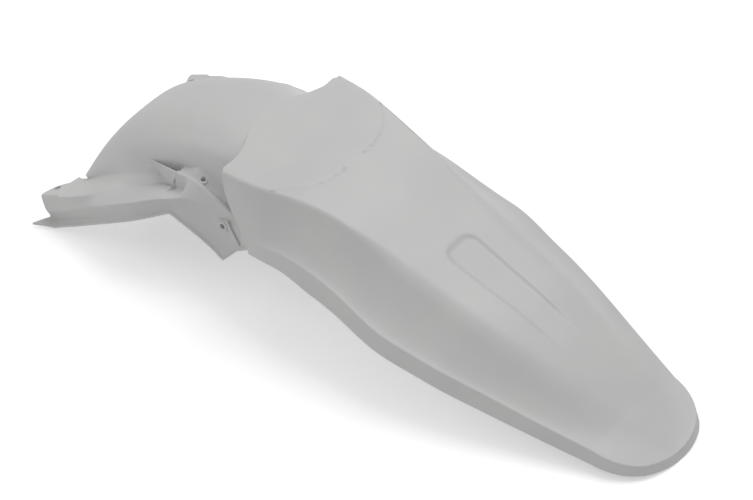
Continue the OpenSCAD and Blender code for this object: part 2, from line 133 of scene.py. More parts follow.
# %% The tail's sizes along its run
SHOULDER_HALF = [(0, 33), (0.1, 40.5), (0.18, 48.6), (0.27, 54.6), (0.36, 58.5), (0.5, 63),
                 (0.64, 67.6), (0.71, 71.1), (0.78, 76.3), (0.85, 83.5), (0.92, 90.8), (1, 93)]
SHOULDER_HEIGHT = [(0, 31), (0.1, 55.7), (0.18, 74.7), (0.27, 92.8), (0.36, 106.1), (0.5, 126),
                   (0.55, 132.7), (0.64, 147.1), (0.71, 156), (0.78, 161.2), (0.84, 163), (1, 163)]
FLARE_HALF = [(0, 66), (0.12, 79.4), (0.25, 93.4), (0.34, 102.5), (0.42, 108.2), (0.52, 114),
              (0.58, 111.5), (0.65, 108.5), (0.78, 107), (0.9, 104.1), (1, 100)]
BEAD_HEIGHT = [(0, 26.5), (0.12, 40.2), (0.25, 56.3), (0.34, 65.8), (0.42, 74.1), (0.52, 86),
               (0.58, 93), (0.64, 101.4), (0.71, 109), (0.79, 112.6), (0.84, 111.2), (0.9, 107),
               (1, 100)]
LIP_DEPTH = [(0, 15.5), (0.12, 17.5), (0.25, 20.5), (0.48, 22), (0.71, 25), (0.79, 22.5),
             (0.84, 19), (1, 14)]
TAIL_RUN = TAIL_LENGTH - TIP_REACH
SHELF_HEIGHT = 163.0
CROWN_RISE, TIP_RISE = 4.0, 1.25
TAIL_ROUNDING, SHELF_ROUNDING = 13.0, 3.5
LIP_LEAN = 3.5
FAIRING = 0.03


def rounding(u):
    """Rounding of the shoulder: wide along the tail, easing to a crisp edge beside the shelf."""
    return share(TAIL_ROUNDING, SHELF_ROUNDING, ease((u - 0.45) / 0.25))


def crown_height(u):
    """Height of the crown line: a little above the shoulders, most at the start of the tip and
    least beside the channel, where the top is nearly flat."""
    flat = 1 - 0.6 * np.exp(-((u - 0.45) / 0.15) ** 2)
    rise = CROWN_RISE * share(TIP_RISE, 1, ease(u / 0.2)) * flat - ease((u - 0.7) / 0.3)
    return fair(SHOULDER_HEIGHT, u, FAIRING) + rise


print("widest at the flare:", 2 * max(half for _, half in FLARE_HALF), "mm")

# %% [markdown]
# One function makes every half section, for whole arrays of places at once. The top is a
# shallow parabola, the shoulder a quadratic Bezier that rounds the corner, the side wall a
# slightly hollow power curve, and the lip a short wall under a rolled bead.

# %% The half section
TOP = np.linspace(0, 1, 34)[:-1]
CORNER = np.linspace(0, 1, 11)
WING = np.linspace(0, 1, 18)[1:]
BEAD = np.array([[0.5, 0.25], [0.95, 0.9], [1.15, 1.8], [1.05, 2.6]])
LIP = np.linspace(0, 1, 6)[1:]
MOST_OF_TOP, MOST_OF_WING = 0.6, 0.5


def bezier(a, b, c, t):
    """Quadratic Bezier: a, b and c weighted by the squares and the double product of t and
    1 - t."""
    return a * (1 - t) ** 2 + b * 2 * t * (1 - t) + c * t * t


def half_section(ys, zs, zc, yb, zb, drop, radius, fall, bow):
    """Points (outward, height) of a half section, one row for each entry of the arrays.
    ys, zs: shoulder; zc: crown height; yb, zb: bead; drop: depth of the lip; radius: rounding
    of the shoulder, which takes at most a set part of the top and of the side wall;
    fall: slope of the crown at the middle; bow: how hollow the side wall is."""
    ys, zs, zc, yb, zb, drop, radius, fall, bow = [
        np.asarray(a, float)[:, None] for a in
        np.broadcast_arrays(ys, zs, zc, yb, zb, drop, radius, fall, bow)]
    top_cut = np.minimum(MOST_OF_TOP, radius / ys)
    wing_cut = np.minimum(MOST_OF_WING, radius / np.hypot(yb - ys, zs - zb))
    rise = zc - zs

    def top(t):
        return ys * t, zc - fall * t - (rise - fall) * t * t

    def wing(t):
        return ys + (yb - ys) * t, zs - (zs - zb) * (1 - (1 - t) ** bow)

    top_y, top_z = top(TOP * (1 - top_cut))
    (ay, az), (cy, cz) = top(1 - top_cut), wing(wing_cut)
    wing_y, wing_z = wing(wing_cut + (1 - wing_cut) * WING)
    foot = share(BEAD[-1, 1], drop, LIP)
    lean = share(BEAD[-1, 0], LIP_LEAN, LIP)
    y = np.hstack([top_y, bezier(ay, ys, cy, CORNER), wing_y, yb + BEAD[:, 0], yb + lean])
    z = np.hstack([top_z, bezier(az, zs, cz, CORNER), wing_z, zb - BEAD[:, 1], zb - foot])
    return y, z


print("points round a half section:",
      len(TOP) + len(CORNER) + len(WING) + len(BEAD) + len(LIP))

# %% [markdown]
# The front edge of the tail is no plain cut: the side walls slant back towards their lower
# corners, and the shelf comes to a rounded point in the middle. Each point of a section is
# moved along the tail by a setback for that. The shallow channel along the crown and the fine
# step that bounds the seat shelf are carved in the same way, as heights taken off the skin.

# %% Front edge, channel and seat line
PANEL_SLANT = 43.0
SLANT = [(0, 0), (20, 0.19), (40, 0.43), (58, 0.74), (72, 1), (90, 1.2)]
SHELF_POINT, FRONT_EDGE = 26.0, 4.0
POINT = [(0, 1), (15, 0.85), (53, 0.2), (78, 0), (90, 0)]
FRONT_FADE = 3.6
CHANNEL_WIDTH, CHANNEL_DEPTH = 42.0, 2.4
CHANNEL_FRONT, CHANNEL_LENGTH = 279.0, 148.0
CHANNEL_NOSE, CHANNEL_END_WALL, CHANNEL_SIDE_WALL = 15.0, 6.0, 5.0
CHANNEL_REAR_WIDTH, CHANNEL_FADE = 0.7, 0.7
SEAT_LINE = [(0, 401.5), (22, 402.5), (37, 404.5), (52, 409.5), (62, 416), (70, 423), (90, 444)]
SEAT_STEP, SEAT_STEP_RUN = 0.8, 1.4
SEAT_GROOVE, SEAT_GROOVE_REACH = 0.9, 1.1
SEAT_FADE_START, SEAT_FADE_RUN = 330.0, 60.0


def setback(u, y, z):
    """How far the front edge stands back: a table over the depth below the shelf gives the
    slant, a table over the distance from the middle gives the point. It fades out over the
    front quarter of the tail."""
    below = np.maximum(0, SHELF_HEIGHT - z)
    slant = PANEL_SLANT * curve(SLANT, below)
    point = SHELF_POINT * curve(POINT, abs(y))
    ahead = point * (1 - ease(below / 8)) + FRONT_EDGE * ease(below / 25)
    return (slant - ahead) * np.maximum(0, 1 - (1 - u) * FRONT_FADE)


def channel(station, y):
    """Depth of the channel: full between its two side walls, each a short ramp. It narrows
    rearward, ends in a round nose at the front and runs out to nothing at the rear."""
    back = CHANNEL_FRONT - station
    part = back / CHANNEL_LENGTH
    nose = np.sqrt(1 - (1 - np.clip(back / CHANNEL_NOSE, 0, 1)) ** 2)
    half = CHANNEL_WIDTH / 2 * share(1, CHANNEL_REAR_WIDTH, part) * nose
    inside = ease((half - abs(y)) / CHANNEL_SIDE_WALL + 0.5) * ease(back / CHANNEL_END_WALL)
    return CHANNEL_DEPTH * inside * (part < 1) * (1 - ease((part - CHANNEL_FADE) / 0.3))


def seat_step(station, y):
    """The shelf stands a little above the skin behind it, with a fine groove along the line."""
    ahead = station - curve(SEAT_LINE, abs(y))
    drop = (SEAT_STEP * (1 - ease(ahead / SEAT_STEP_RUN + 0.5))
            + SEAT_GROOVE * np.exp(-((ahead / SEAT_GROOVE_REACH) ** 2)))
    return drop * ease((station - SEAT_FADE_START) / SEAT_FADE_RUN)


print("channel:", CHANNEL_LENGTH, "x", CHANNEL_WIDTH, "x", CHANNEL_DEPTH, "mm")

# %% [markdown]
# The rounded tip continues the tail's last section round a half turn, like a fan. Turn runs
# from 90 degrees on the left to -90 on the right, and each direction has its own reach, bead
# height and lip, so the lip runs round the tip in one line. Left wall, fan and right wall are
# then one strip of rows that is welded to itself along the crown.

# %% The tail's skin
TAIL_ROWS, FAN_ROWS = 138, 36
FINE_ROWS = [(CHANNEL_FRONT - 6, 12, 1.6, 2), (419, 25, 2.6, 4)]
CARVED_POINTS = len(TOP) + 4
SIDE_BOW, TIP_BOW = 1.5, 1.15
NOSE_HALF, NOSE_HEIGHT, NOSE_FLARE, NOSE_ROUNDING = 33.0, 31.0, 66.0, 14.0
NOSE_BEAD, TIP_BEAD, TIP_FALL, NOSE_LIP = 26.5, 10.0, 0.5, 15.5
TIP_SHOULDER = 0.57
FAN_REACH = [(0, 0), (0.28, 0.26), (0.5, 0.61), (0.67, 0.78), (1, 1)]
FAN_BEAD = [(0, 0), (0.5, 0.3), (0.67, 0.52), (0.85, 0.79), (1, 1)]
FAN_LIP = [(0, 0), (0.5, 0.1), (0.67, 0.45), (1, 1)]


def rows_along(count):
    """Places along the tail, closer together at the front of the channel and across the seat
    line: equal shares of a density that is 1 plus a bump at each of the two stations."""
    fine = np.linspace(0, 1, 2000)
    station = TIP_REACH + TAIL_RUN * fine
    density = 1 + sum(extra * np.exp(-((station - spot) / reach) ** power)
                      for spot, reach, extra, power in FINE_ROWS)
    total = np.concatenate([[0], np.cumsum((density[1:] + density[:-1]) / 2)])
    return np.interp(np.linspace(0, 1, count), total / total[-1], fine)


def side_of_tail(side, carved):
    """Rows of points from the shelf (u = 1) to the start of the tip (u = 0) on one side."""
    u = rows_along(TAIL_ROWS)[::-1]
    y, z = half_section(
        fair(SHOULDER_HALF, u, FAIRING), fair(SHOULDER_HEIGHT, u, FAIRING), crown_height(u),
        fair(FLARE_HALF, u, FAIRING), fair(BEAD_HEIGHT, u, FAIRING), curve(LIP_DEPTH, u),
        rounding(u), 0, SIDE_BOW)
    station = TIP_REACH + TAIL_RUN * u[:, None] - setback(u[:, None], y, z)
    if carved:
        on_top = np.arange(y.shape[1]) < CARVED_POINTS
        z = z - (channel(station, y) + seat_step(station, y)) * on_top
    return at(station, side * y, z)


def fan_of_tip():
    """Rows round the tip. The tables share out reach, bead and lip between the very tip and
    the start of the straight walls; the crown falls with the cosine of the turn."""
    turn = np.radians(90 - 180 * np.arange(1, FAN_ROWS + 1) / (FAN_ROWS + 1))
    a = abs(turn) / (math.pi / 2)
    reach = share(TIP_REACH - LIP_LEAN, NOSE_FLARE, curve(FAN_REACH, a))
    ys = share(reach * TIP_SHOULDER, NOSE_HALF, a)
    zc = NOSE_HEIGHT + CROWN_RISE * TIP_RISE
    fall = TIP_FALL * ys * np.cos(turn)
    zs = share(zc, NOSE_HEIGHT, np.sin(turn) ** 2) - fall
    zb = share(TIP_BEAD, NOSE_BEAD, curve(FAN_BEAD, a))
    drop = share(TIP_BEAD, NOSE_LIP, curve(FAN_LIP, a))
    y, z = half_section(ys, zs, zc, reach, zb, drop, NOSE_ROUNDING, fall,
                        share(TIP_BOW, SIDE_BOW, a))
    turn = turn[:, None]
    return at(TIP_REACH - y * np.cos(turn), -y * np.sin(turn), z)


def tail_skin(carved=True):
    """Left wall, tip and right wall as one grid of rows."""
    left, right = side_of_tail(-1, carved), side_of_tail(1, carved)
    return np.concatenate([left, fan_of_tip(), right[::-1]])


print("tail grid:", tail_skin().shape)

# %% [markdown]
# A mould fills a gap of even width, so every shell here is a skin and the same skin moved
# inward by the wall. The inner skin follows the normals of the plain form, without the fine
# carving, because on the real part the channel and the bead show on the outside only.

# %% From a skin to a closed shell
def normals(grid, weld):
    """Unit normals of a grid: the cross product of its two directions, taken between the
    neighbours of each point, turned so that most of them point up, out of the moulding. Along
    a welded first column they lie in the middle plane."""
    along = np.gradient(grid, axis=0)
    across = np.gradient(grid, axis=1)
    n = np.cross(along, across)
    n *= np.sign(n[..., 2].mean())
    if weld:
        n[:, 0] = n[:, 1] * [1, 0, 1]
    return n / np.linalg.norm(n, axis=2, keepdims=True)


def closed_piece(name, points, faces):
    """An object of points in millimetres and faces. Points that coincide are merged, and the
    faces are turned until the volume they enclose is positive, so that all normals point out."""
    mesh = bpy.data.meshes.new(name)
    mesh.from_pydata(points * MM, [], faces)
    work = bmesh.new()
    work.from_mesh(mesh)
    bmesh.ops.remove_doubles(work, verts=work.verts, dist=1e-6)
    bmesh.ops.recalc_face_normals(work, faces=work.faces)
    if work.calc_volume(signed=True) < 0:
        bmesh.ops.reverse_faces(work, faces=work.faces)
    open_edges = sum(not e.is_manifold for e in work.edges)
    volume = work.calc_volume(signed=True) * 1e6
    work.to_mesh(mesh)
    work.free()
    piece = bpy.data.objects.new(name, mesh)
    bpy.context.scene.collection.objects.link(piece)
    print(name, len(mesh.polygons), "faces,", round(volume, 2), "cm3, open edges", open_edges)
    return piece


def shell(name, outer, inner, weld=False):
    """A closed piece between two skins of the same grid: quads of the outer skin, the same
    turned over for the inner one, and a rim of quads round the border. A grid that is welded
    to itself along its first column has no rim there."""
    rows, cols = outer.shape[:2]
    n = rows * cols
    number = np.arange(n).reshape(rows, cols)
    quads = np.stack([number[:-1, :-1], number[1:, :-1], number[1:, 1:], number[:-1, 1:]],
                     axis=-1).reshape(-1, 4)
    border = np.concatenate([number[0, :-1], number[:-1, -1], number[-1, ::-1]]
                            + ([] if weld else [number[-2:0:-1, 0], number[0, :1]]))
    start, end = border[:-1], border[1:]
    rim = np.stack([start, end, end + n, start + n], axis=-1)
    faces = np.concatenate([quads, quads[:, ::-1] + n, rim])
    points = np.concatenate([outer.reshape(-1, 3), inner.reshape(-1, 3)])
    corners = points[faces]
    spread = np.cross(corners[:, 2] - corners[:, 0], corners[:, 3] - corners[:, 1])
    if (corners.mean(axis=1) * spread).sum() < 0:
        faces = faces[:, ::-1]
    return closed_piece(name, points, faces)


def tail_inner():
    """The plain skin moved in by the wall. The lower edge keeps its height, so the wall ends
    flat."""
    plain = tail_skin(carved=False)
    inner = plain - normals(plain, weld=True) * WALL
    inner[:, -1, 2] = plain[:, -1, 2]
    return inner


tail = shell("tail", tail_skin(), tail_inner(), weld=True)

# %% [markdown]
# Ahead of the shelf the moulding goes on as a hood over the wheel. Its rows are arches: each
# one stands on a foot line, leans forward, and is a superellipse, squarer at the front edge
# and under the shelf and rounder between. Functions give its width and its foot line at each
# station, because the arms and the walls round the ledge have to meet it later.

# %% The hood's sizes
HOOD_FRONT, HOOD_TOP, HOOD_END = 682.0, 516.0, 456.0
HOOD_FRONT_HEIGHT, HOOD_CROWN, HOOD_FOOT = 52.0, 165.0, 124.0
HOOD_REAR_HALF, HOOD_FRONT_HALF, HOOD_REAR_POWER = 68.5, 85.0, 3.2
HOOD_POWER = [(0, 3.2), (0.5, 2.4), (1, HOOD_REAR_POWER)]
FOOT_FRONT = HOOD_FRONT - 8
HOOD_ROWS, HOOD_TURNS, UNDER_ROWS, HEM_ROWS = 54, 70, 9, 8
TOP_LINE = (HOOD_FRONT, HOOD_FRONT + 9, HOOD_TOP + 62, HOOD_TOP)
TOP_HEIGHTS = (HOOD_FRONT_HEIGHT, share(HOOD_FRONT_HEIGHT, HOOD_CROWN, 0.45),
               HOOD_CROWN + 2, HOOD_CROWN)


def hood_half(station):
    """Half width of the hood at its foot."""
    return curve([(HOOD_TOP, HOOD_REAR_HALF), (HOOD_TOP + 53, HOOD_REAR_HALF + 0.5),
                  (HOOD_TOP + 106, share(HOOD_REAR_HALF, HOOD_FRONT_HALF, 0.16)),
                  (FOOT_FRONT, HOOD_FRONT_HALF)], station)


def hood_foot(station):
    """Height of the foot line."""
    middle = share(HOOD_FRONT_HEIGHT, HOOD_FOOT, 0.57)
    return curve([(HOOD_TOP, HOOD_FOOT), (share(HOOD_TOP, FOOT_FRONT, 0.5), middle),
                  (FOOT_FRONT, HOOD_FRONT_HEIGHT)], station)


def cubic(a, b, c, d, t):
    """Cubic Bezier."""
    return a * (1 - t) ** 3 + 3 * b * t * (1 - t) ** 2 + 3 * c * t * t * (1 - t) + d * t**3


def superellipse(turn, power):
    """Sideways and upward share of a superellipse in a direction: along a ray at that turn, the
    distance is one over the power-mean of sine and cosine."""
    s, c = np.sin(turn), np.clip(np.cos(turn), 0, 1)
    r = (abs(s) ** power + c**power) ** (-1 / power)
    return r * s, r * c


print("hood:", HOOD_FRONT - HOOD_TOP, "mm long,", 2 * HOOD_FRONT_HALF, "mm wide at the front")

# %% [markdown]
# The arms and the skirts are folded sections that change along their length. Each section is
# a polygon of ten corners, from its root beside the hood, out along the flange or ledge, over
# the edge, and down two faces to a lip. The corners come from tables over the distance back
# from the arm's front end, as a press or mould maker would give a folded edge.

# %% Tables for the arm and the skirt
ARM_FRONT = TAIL_LENGTH + ARM_LENGTH
ARM_HALF, ARM_HEIGHT, ARM_LIP = 121.0, 31.0, 18.0
ARM_TILT = math.radians(28.2)
ARM_SLOPE = math.tan(ARM_TILT)
STEP_BACK, CORNER_BACK, SKIRT_BACK = ARM_LENGTH - 67, ARM_LENGTH - 6, ARM_LENGTH + 39
SKIRT_HALF, SKIRT_CORNER = 82.0, 43.0
LEDGE_DEPTH, LEDGE_RIM, LEDGE_RISE, LEDGE_RISE_RUN = 2.0, 4.5, 11.0, 22.0
BOLT_HALF, TAB_RISE, TAB_LENGTH, TAB_END = 104.0, 2.0, 21.0, 3.0


def flange(back):
    """Height of the arm's flange."""
    return ARM_HEIGHT + back * ARM_SLOPE


STEP_HEIGHT = flange(STEP_BACK)
ARM_EDGE_HALF = [(0, 118), (69, 118), (105, 109), (STEP_BACK, 98)]
ARM_EDGE_SINK = [(0, 0), (69, 0), (105, 4), (STEP_BACK, 5)]
SKIRT_EDGE = [(STEP_BACK, 118), (164, 120), (192, 111), (CORNER_BACK, 106), (SKIRT_BACK, 91)]
ROOT_PAST_BOLT = [(0, 9), (2, 5), (5, -1), (12, -7), (20, -11)]
ROOT_SINK = [(0, 0), (50, 0), (69, 1), (105, 5), (STEP_BACK, 7)]
FACE_HALF = [(0, 121), (69, 119), (110, 117), (STEP_BACK, 107), (168, 96), (180, 91),
             (CORNER_BACK, 86), (SKIRT_BACK, 86)]
FACE_HEIGHT = [(0, 21), (17, flange(17) - 17), (50, flange(50) - 14), (69, flange(69) - 12),
               (110, flange(110) - 8), (STEP_BACK, STEP_HEIGHT - 9), (168, STEP_HEIGHT - 5),
               (180, STEP_HEIGHT - 8), (CORNER_BACK, SKIRT_CORNER + 46),
               (SKIRT_BACK, SKIRT_CORNER + 44)]
LIP_HALF = [(0, 114), (105, 113), (152, 98), (CORNER_BACK, 84), (242, 87), (SKIRT_BACK, 87)]
LIP_HEIGHT = [(0, 7), (20, flange(20) - 34), (45, flange(45) - 34), (110, flange(110) - 28),
              (152, STEP_HEIGHT - 25), (CORNER_BACK, SKIRT_CORNER),
              (CORNER_BACK + 21, SKIRT_CORNER + 26), (CORNER_BACK + 35, SKIRT_CORNER + 36),
              (SKIRT_BACK, SKIRT_CORNER + 37)]
LIP_OUT = [(0, ARM_LIP), (20, 8), (44, 5), (105, 4), (155, 2)]
LIP_DOWN = [(0, 1), (24, 2.5), (60, 2.5)]
print("arm and skirt:", SKIRT_BACK, "mm long, step", STEP_BACK, "mm back")

# %% [markdown]
# Along the rear half of the arm the corners between root and face are spread evenly, so that
# the flange has no edge there and flows into the face, as the light on the real part shows. The
# face's front end stands back behind flange and lip, and the flange rises a little round its
# bolt, as a tab. Each corner is then rounded with its own small radius, as a mould needs.

# %% The section of the arm and the skirt
FLOWING = np.array([0, 0.12, 0.25, 0.33, 0.36, 0.39, 0.7, 1])[None, :, None]
FLOW_SWELL, FLOW_START, FLOW_RUN = 2.5, 34.0, 76.0
BEHIND, BEHIND_RUN = np.array([0, 0, 0, 0, 0, 0, 4, 8, 9, 0]), 24.0


def top_edge(back):
    """Outward place and height of the upper edge: of the skirt behind the step, of the arm
    ahead of it."""
    skirt = back >= STEP_BACK
    y = np.where(skirt, SKIRT_HALF, curve(ARM_EDGE_HALF, back))
    return y, np.where(skirt, curve(SKIRT_EDGE, back), flange(back) - curve(ARM_EDGE_SINK, back))


def ledge_rise(back):
    """How much the ledge's root climbs behind the step."""
    return LEDGE_RISE * ease((back - STEP_BACK) / LEDGE_RISE_RUN)


def root(back):
    """Where the flange or the ledge meets the hood's side."""
    z = top_edge(back)[1]
    front = np.minimum(ARM_HALF - 8, BOLT_HALF + curve(ROOT_PAST_BOLT, back))
    y = np.where(back < 20, front, np.minimum(ARM_HALF - 28, hood_half(ARM_FRONT - back) - 2))
    floor = z - np.where(back >= STEP_BACK, LEDGE_DEPTH, curve(ROOT_SINK, back))
    return y, floor + ledge_rise(back)


def fold(back):
    """How far the skirt's outer face is folded out again below its front corner, from 0 to 1."""
    return np.where(back >= STEP_BACK, 1 - ease((back - STEP_BACK - 11) / 7), 0)


def side_polygon(back):
    """The ten corners of the section, as an array of rows by corners by (outward, height,
    setback)."""
    skirt = back >= STEP_BACK
    ey, ez = top_edge(back)
    ry, rz = root(back)
    floor = ez - np.where(skirt, LEDGE_DEPTH, 0)
    rim = np.where(skirt, LEDGE_RIM, WALL)
    gap = ey - rim - ry
    out_again = fold(back)
    my, mz = curve(FACE_HALF, back), curve(FACE_HEIGHT, back)
    ly, lz = curve(LIP_HALF, back), np.interp(back, *zip(*LIP_HEIGHT))
    corners = [
        (ry, rz), (ry + gap * 0.25, share(rz, floor, 0.4)),
        (ry + gap * 0.6, share(rz, floor, 0.8)), (ey - rim, floor), (ey - rim + 0.5, ez), (ey, ez),
        (share((ey + my) / 2, ey + 2.5, out_again), share((ez + mz) / 2, mz - 1, out_again)),
        (my, mz), (ly, lz), (ly + curve(LIP_OUT, back), lz - curve(LIP_DOWN, back))]
    line = np.stack([np.stack(c, axis=-1) for c in corners], axis=1)
    flowing = share(line[:, :1], line[:, 7:8], FLOWING)
    flowing[..., 1] += FLOW_SWELL * np.sin(math.pi * FLOWING[..., 0])
    soft = (ease((back - FLOW_START) / FLOW_RUN) * ~skirt)[:, None, None]
    line[:, :8] = share(line[:, :8], flowing, soft)
    line[:, :6, 1] += TAB_RISE * (1 - ease((back - TAB_LENGTH) / TAB_END))[:, None]
    behind = BEHIND * (1 - ease(back / BEHIND_RUN))[:, None]
    return np.concatenate([line, behind[..., None]], axis=2)


def side_inside(line, back):
    """The same ten corners on the inner side of the wall. Steps of a few tenths keep the
    corners under the edge apart."""
    under = WALL / math.cos(ARM_TILT)
    y, z, behind = line[..., 0].copy(), line[..., 1].copy(), line[..., 2]
    floor = z[:, 3] - under
    z[:, :3] -= under
    y[:, 3:5] -= [0.6, 0.7]
    y[:, 5:9] -= WALL
    z[:, 3], z[:, 4], z[:, 5] = floor, floor - 0.2, floor - 0.4
    z[:, 6] = np.minimum(z[:, 6] - under * fold(back), floor - 0.5)
    z[:, 7] = np.minimum(z[:, 7] - under * fold(back), floor - 0.6)
    z[:, 8] -= WALL * 0.6
    z[:, 9] -= WALL * 0.8
    return np.stack([y, z, behind], axis=-1)


print("corners of the section:", side_polygon(np.array([0, STEP_BACK])).shape[1])

# %% [markdown]
# Rounding turns the few corners into the many points that a smooth highlight needs. A cut on
# each side of a corner and a Bezier between the two cuts stand for the mould's radius, and the
# rows are closer together at the front end, where the face steps back.

# %% Build the arms and skirts
SIDE_RADII = [5, 5, 2.5, 1, 1.6, 2, 2, 2, 0]
SIDE_BETWEEN = [2, 2, 2, 1, 1, 4, 4, 6, 2]
MOST_OF_EDGE = 0.45
side_back = np.concatenate([np.linspace(0, 6, 6)[:-1], np.linspace(6, STEP_BACK - 2, 48),
                            np.linspace(STEP_BACK, SKIRT_BACK, 44)])


def cut(here, other, radius):
    """The point a radius away from a corner along an edge, at most a set part of the edge."""
    edge = other - here
    return here + edge * np.minimum(radius / np.linalg.norm(edge, axis=1, keepdims=True),
                                    MOST_OF_EDGE)


def rounded(line, radii, between):
    """A polygon with its corners rounded by quadratic Beziers, and a few points along the
    straight runs between them. The first and the last corner stay."""
    steps = np.linspace(0, 1, 6)[:, None]
    columns, last = [line[:, :1]], line[:, 0]
    for i, (radius, count) in enumerate(zip(radii, between), start=1):
        here, at_end = line[:, i], i == line.shape[1] - 1
        start = here if at_end else cut(here, line[:, i - 1], radius)
        run = np.linspace(0, 1, count + 2)[1:-1, None]
        columns.append(share(last[:, None], start[:, None], run[None]))
        if at_end:
            columns.append(here[:, None])
        else:
            last = cut(here, line[:, i + 1], radius)
            columns.append(bezier(start[:, None], here[:, None], last[:, None], steps[None]))
    return np.concatenate(columns, axis=1)


def side_grid(line, side):
    """The section's points placed along the arm."""
    points = rounded(line, SIDE_RADII, SIDE_BETWEEN)
    station = ARM_FRONT - side_back[:, None] - points[..., 2]
    return at(station, side * points[..., 0], points[..., 1])


for side, name in ((-1, "left_side"), (1, "right_side")):
    line = side_polygon(side_back)
    shell(name, side_grid(line, side), side_grid(side_inside(line, side_back), side))

# %% [markdown]
# The hood's skin is its rows of arches, with straight rows on under the shelf. Below the foot
# line each row has a hem that drops into the arm's flange. Between the gusset and the front
# the wall sweeps out on a quarter circle as it comes down, so that it meets the arm in a hollow
# fillet and not in a crease. There the hem is short and the wall a little thinner, so both end
# inside the flange and nothing stands out below it.

# %% Build the hood
FILLET = [(30, 0.01), (45, 5), (65, 15), (85, 23), (110, 24), (130, 12), (146, 0.01)]
HEM, FILLET_HEM, FILLET_FULL = 6.0, 2.1, 8.0
FILLET_THINNING, FILLET_FOCUS = 0.2, 12


def hood_skin():
    """The grid of the skin, and the wall's thickness at each of its points."""
    t = np.concatenate([np.linspace(0, 1, HOOD_ROWS), np.ones(UNDER_ROWS)])
    under = np.concatenate([np.zeros(HOOD_ROWS), np.linspace(0, 1, UNDER_ROWS + 1)[1:]])
    slide = (HOOD_TOP - HOOD_END) * under
    foot = (share(FOOT_FRONT, HOOD_TOP, t) - slide)[:, None]
    foot_z, half = hood_foot(foot), hood_half(foot)
    top = (cubic(*TOP_LINE, t) - slide)[:, None]
    top_z = cubic(*TOP_HEIGHTS, t)[:, None]
    turn = np.linspace(-math.pi / 2, math.pi / 2, HOOD_TURNS)
    a, c = superellipse(turn[None], curve(HOOD_POWER, t)[:, None])
    arch = at(share(foot, top, c), half * a, share(foot_z, top_z, c))
    back = ARM_FRONT - foot
    floor = root(back)[1] - ledge_rise(back)
    radius = curve(FILLET, back)
    hem_z = np.minimum(foot_z - 2, floor - share(HEM, FILLET_HEM, ease(radius / FILLET_FULL)))
    drop = share(foot_z, hem_z, np.linspace(0, 1, HEM_ROWS + 1)[None, 1:])
    left, right = at(foot, -half, drop), at(foot, half, drop)
    skin = np.concatenate([left[:, ::-1], arch, right], axis=1)
    above = np.clip(skin[..., 2] - floor, 0, radius)
    sweep = radius - np.sqrt(np.maximum(0, radius**2 - (radius - above) ** 2))
    outward = np.sign(skin[..., 1]) * (abs(skin[..., 1]) / half) ** FILLET_FOCUS
    skin[..., 1] += sweep * outward
    return skin, WALL * (1 - FILLET_THINNING * ease(sweep / FILLET_FULL))


hood_outer, hood_wall = hood_skin()
hood_inner = hood_outer - normals(hood_outer, weld=False) * hood_wall[..., None]
shell("hood", hood_outer, hood_inner)

# %% [markdown]
# Two more walls stiffen the place where the hood, the arm and the shelf meet. A slanted plate
# closes the front of the ledge, and a return wall turns in from the front edge of the shelf and
# side wall to the hood. Both are ruled sheets: straight lines between two curved edges, which
# is the plainest wall that a mould can hold.

# %% Gussets and return walls
GUSSET_TIP, GUSSET_HEEL = (103, 0.8, 15), (107, 0.5, 20)
GUSSET_FOOT_OUT, GUSSET_FOOT_DROP = 3, 18
RETURN_FIRST, RETURN_LAST = 13, len(TOP) + len(CORNER) + 14
RETURN_TURNS, RETURN_SUNK, RETURN_LOWER = (35, 90), 1.5, 1
RETURN_BEHIND, RETURN_FORWARD = 1.2, 6


def ruled(first, second, steps, thickness):
    """A flat-ruled sheet between two edges, and the same moved by the thickness."""
    k = np.linspace(0, 1, steps)[None, :, None]
    outer = share(first[:, None], second[:, None], k)
    return outer, outer + np.asarray(thickness)


def gusset(side, name):
    """From the hood's side, out and down to the corner where the skirt's upper edge starts."""
    corner_z = float(top_edge(STEP_BACK)[1])

    def on_hood(back, proud, below):
        return at(ARM_FRONT - back, side * (hood_half(ARM_FRONT - back) + proud), corner_z - below)

    def at_step(out, below):
        return at(ARM_FRONT - STEP_BACK, side * (SKIRT_HALF + out), corner_z - below)

    k = np.linspace(0, 1, 12)[:, None]
    upper = share(on_hood(*GUSSET_TIP), at_step(0, 0), k)
    lower = share(on_hood(*GUSSET_HEEL), at_step(GUSSET_FOOT_OUT, GUSSET_FOOT_DROP), k)
    shell(name, *ruled(upper, lower, 4, [WALL, -side * WALL * 0.6, 0]))


def return_wall(side, name):
    """From the edge of the tail's front, in to the side of the hood under the shelf. A narrow
    strip beside the edge leans forward, more so down the side wall than along the shelf."""
    edge = side_of_tail(side, carved=False)[0, RETURN_FIRST:RETURN_LAST]
    run = np.concatenate([[0], np.cumsum(np.linalg.norm(np.diff(edge, axis=0), axis=1))])
    k = run / run[-1]
    a, c = superellipse(np.radians(share(*RETURN_TURNS, k)), HOOD_REAR_POWER)
    start = edge + [RETURN_BEHIND, -side * WALL / 2, -WALL / 2]
    lean = ease(k * 1.4 - 0.3)
    middle = start + np.stack([-3 - 6 * lean, -side * (2 + 4.5 * lean), 0 * lean], axis=-1)
    end = np.stack([start[:, 0] - RETURN_FORWARD, side * (HOOD_REAR_HALF * a - RETURN_SUNK),
                    share(HOOD_FOOT, HOOD_CROWN, c) - RETURN_LOWER], axis=-1)
    outer = np.stack([start, middle, end], axis=1)
    shell(name, outer, outer + [WALL, 0, -0.5])


for side, word in ((-1, "left"), (1, "right")):
    gusset(side, word + "_gusset")
    return_wall(side, word + "_return_wall")

# %% [markdown]
# Screws need more than the bare wall, so a moulded rim stands round each screw hole: one on the
# ledge and one on the skirt. The rims are short lathe-turned rings with a rounded upper edge.
# A hooked rib stands over the skirt's screw and carries on down beside the tail's front edge.
# The same turned solids, longer and set through the wall, are the cutters for the holes.

